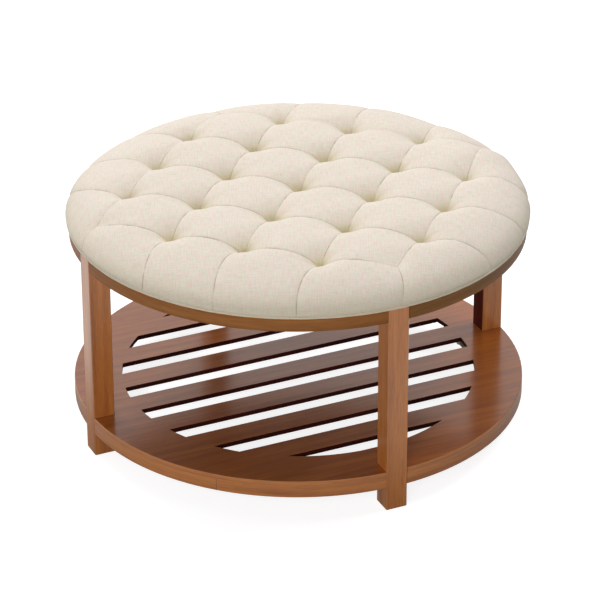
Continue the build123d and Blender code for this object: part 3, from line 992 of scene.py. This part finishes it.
# %% [markdown]
# On one board the finish can change from face to face. The slots' walls and the inward faces of the
# legs lie in shade, and that shade is painted on them: a dull dark red brown with no coat of
# lacquer. The shelf board's outer edge, seen with the rim under it, has the rim's colour. Such faces
# could be cut off as pieces of their own, but the CAD's boards stay whole, so the faces get a
# further material, picked by where they are and which way they face.

# %% Finishes by face
upright_limit = 0.8


def dress(node, material):
    """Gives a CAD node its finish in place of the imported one."""
    nodes[node].data.materials.clear()
    nodes[node].data.materials.append(material)


def mark_faces(node, material, choose):
    """A further finish for the upright faces that a rule picks.

    The rule gets each face's distance from the axis, and how it faces the axis, which is the dot
    product of its normal and the direction out to it: 1 straight outward, -1 straight inward.
    """
    mesh = nodes[node].data
    mesh.materials.append(material)
    count = len(mesh.polygons)
    normals, centres = np.empty(3 * count, dtype=np.float32), np.empty(3 * count, dtype=np.float32)
    numbers = np.empty(count, dtype=np.int32)
    mesh.polygons.foreach_get("normal", normals)
    mesh.polygons.foreach_get("center", centres)
    mesh.polygons.foreach_get("material_index", numbers)
    normals, centres = normals.reshape(-1, 3), centres.reshape(-1, 3)
    distance = np.hypot(centres[:, 0], centres[:, 1])
    facing = (normals[:, :2] * centres[:, :2]).sum(axis=1) / distance
    picked = (np.abs(normals[:, 2]) < upright_limit) & choose(distance, facing)
    numbers[picked] = len(mesh.materials) - 1
    mesh.polygons.foreach_set("material_index", numbers)
    mesh.update()
    print(node, "has", int(picked.sum()), "faces in", material.name)


print(len(nodes), "nodes to dress")

# %% [markdown]
# No two boards take stain alike, so the tones, the gloss and the coat of lacquer differ from board
# to board. Light and shade are painted on some boards as well: the right leg is painted lighter than
# the others, and the seat ring, duller than the rim, is painted darker as shade, most of all at its
# front right. The shelf board has a thick, glossy coat, which mirrors the white room where it is seen
# flatly. One shared material would be simpler, but the table would look cast in one piece.

# %% Dressing the legs and the shelf
stain = ("#aa6227", "#c47734", "#d28841")
# Painted light: the right leg's tones are lighter than those of the other legs.
right_leg_stain_and_light = ("#b46a2b", "#cf8038", "#dd9346")
# Painted shade: near black red brown for the legs' inward faces.
inside_stain_and_shade = ("#3d0f07", "#52150b", "#641f10")
shelf_stain = ("#8b4712", "#a15617", "#b06420")
# Painted shade: near black red brown for the slots' walls.
slot_stain_and_shade = ("#2a0a05", "#3a0f08", "#4a160c")
rim_stain = ("#aa6125", "#c4762f", "#d1873c")
stations = {"right": 0, "back": quarter_turn, "left": 2 * quarter_turn, "front": 3 * quarter_turn}
leg_seed_step = 0.37
straight_inward = -0.9
slot_zone = frame_radius - 0.03
edge_zone = frame_radius - 0.006
outward_limit = 0.3

# The legs' inward faces get the painted shade.
leg_insides = wood_material("leg_insides_stain_and_shade", "up", inside_stain_and_shade, 4.9, gloss=0.6, shine=0.1, coat=0)
for number, station in enumerate(stations):
    # The right leg gets the lighter tones of painted light.
    tones = right_leg_stain_and_light if station == "right" else stain
    leg_wood = wood_material(f"stained_leg_{station}", "up", tones, leg_seed_step * number, coat=0.35)
    dress(f"leg_{station}", leg_wood)
    mark_faces(f"leg_{station}", leg_insides, lambda distance, facing: facing < straight_inward)

shelf_wood = wood_material("stained_shelf", 0, shelf_stain, 2.1, shine=0.15, coat=0.9, coat_gloss=0.17)
# The slots' walls get the painted shade.
slot_walls = wood_material("slot_walls_stain_and_shade", 0, slot_stain_and_shade, 4.2, gloss=0.6, shine=0.1, coat=0)
panel_edge = wood_material("stained_panel_edge", "round", rim_stain, 3.3, coat=0.6)
dress("shelf_panel", shelf_wood)
mark_faces("shelf_panel", slot_walls, lambda distance, facing: distance < slot_zone)
mark_faces("shelf_panel", panel_edge,
           lambda distance, facing: (distance > edge_zone) & (facing > outward_limit))

# %% [markdown]
# The two rings are sawn in eight segments each, two to a leg: the odd numbers go on from their leg
# against the clock, seen from above, and the even ones with it. The shelf's rim shows its glue joint
# half way between two legs. On the seat ring the photograph shows none.

# %% Dressing the rings
# The seat ring's stain, darkened by painted shade under the cushion.
ring_stain_and_shade = ("#814e22", "#965f2f", "#a7703e")
# Painted shade: a darker copy still, for the seat ring's segments at the front right.
front_right_stain_and_shade = ("#6d441e", "#7f5428", "#8d6336")
front_right_segments = (2, 7)
rim_seed_step = 0.53
segment_count = 8

ring_wood = wood_material("seat_ring_stain_and_shade", "round", ring_stain_and_shade, 6.1, gloss=0.5, shine=0.15, coat=0)
shaded_front_right_ring_wood = wood_material("front_right_ring_stain_and_shade", "round", front_right_stain_and_shade, 7.3, gloss=0.5, shine=0.15,
                               coat=0)
for number in range(segment_count):
    segment = number + 1
    joint = quarter_turn * (number // 2) + (quarter_turn / 2 if segment % 2 else -quarter_turn / 2)
    rim_wood = wood_material(f"stained_rim_{segment}", "round", rim_stain, rim_seed_step * number, coat=0.6,
                             joint=joint)
    dress(f"shelf_rim_segment_{segment}", rim_wood)
    # The seat ring's front right segments get the darker painted shade.
    dress(f"seat_ring_segment_{segment}", shaded_front_right_ring_wood if segment in front_right_segments else ring_wood)
print("dressed", 2 * segment_count, "ring segments")

# %% [markdown]
# ## What is seen from below
# Blocks and rails hardly show, so a maker sands them and leaves them bare. The dust cover is thin
# black spun cloth, and the bolts are zinc-plated steel. The seat board and the foam are closed in,
# but have their own finish too, because the part may be opened up in another scene. They could share
# one grey, but a fine noise is enough to tell cloth, foam and metal apart.

# %% Plain wood, spun cloth, foam and steel
bare = ("#b08a5e", "#c39c6e", "#cfab7f")
bare_gloss = 0.6
# Fibres and foam cells are really finer than this, and are drawn coarser so that they show.
spun_fibre = 0.0015
foam_cell = 0.002
speckle_relief = 0.0004
zinc_cloud = 0.0025
block_seed_step = 0.2


def speckled_material(name, colours, grain_size, roughness):
    """A matt surface with a fine random speckle: spun cloth looks flat and black, foam dry and open."""
    material, output = new_material(name)
    space = add_node(material, "ShaderNodeTexCoord")
    speckle = add_node(material, "ShaderNodeTexNoise", {"Scale": 1 / grain_size, "Detail": 2.0},
                       {"Vector": (space, "Object")})
    colour = add_node(material, "ShaderNodeValToRGB", links={"Fac": (speckle, 0)},
                      stops=[(0.35, colours[0]), (0.65, colours[1])])
    bump = add_node(material, "ShaderNodeBump", {"Strength": 0.2, "Distance": speckle_relief},
                    {"Height": (speckle, 0)})
    surface = add_node(material, "ShaderNodeBsdfPrincipled", {"Roughness": roughness},
                       {"Base Color": (colour, 0), "Normal": (bump, 0)})
    return finish_material(material, output, surface)


def zinc_material():
    """Zinc-plated steel: a pale metal, faintly clouded by the plating bath."""
    material, output = new_material("zinc_plated_steel")
    space = add_node(material, "ShaderNodeTexCoord")
    cloud = add_node(material, "ShaderNodeTexNoise", {"Scale": 1 / zinc_cloud, "Detail": 2.0},
                     {"Vector": (space, "Object")})
    colour = add_node(material, "ShaderNodeValToRGB", links={"Fac": (cloud, 0)},
                      stops=[(0.3, "#a9adb2"), (0.7, "#c8ccd0")])
    metal = add_node(material, "ShaderNodeBsdfPrincipled", {"Metallic": 1.0, "Roughness": 0.35},
                     {"Base Color": (colour, 0)})
    return finish_material(material, output, metal)


for station, leg_turn in stations.items():
    block_wood = wood_material(f"sanded_block_{station}", leg_turn + quarter_turn, bare,
                               block_seed_step * leg_turn, gloss=bare_gloss)
    dress(f"shelf_block_{station}", block_wood)
    dress(f"seat_block_{station}", block_wood)
dress("seat_rail_upper", wood_material("sanded_rail_upper", 45, bare, 1.0, gloss=bare_gloss))
dress("seat_rail_lower", wood_material("sanded_rail_lower", 135, bare, 2.0, gloss=bare_gloss))
plain_wood = wood_material("sanded_pine", 0, bare, 5.0, gloss=bare_gloss)
for node in ("leg_tenons", "ring_tenons", "rail_tenons", "seat_board"):
    dress(node, plain_wood)
dress("dust_cover", speckled_material("black_spun_cloth", ("#141414", "#262626"), spun_fibre, 0.95))
dress("foam_slab", speckled_material("open_cell_foam", ("#d9cfae", "#e6ddc0"), foam_cell, 0.9))
dress("leg_bolts", zinc_material())
print("dressed", len(nodes), "nodes")
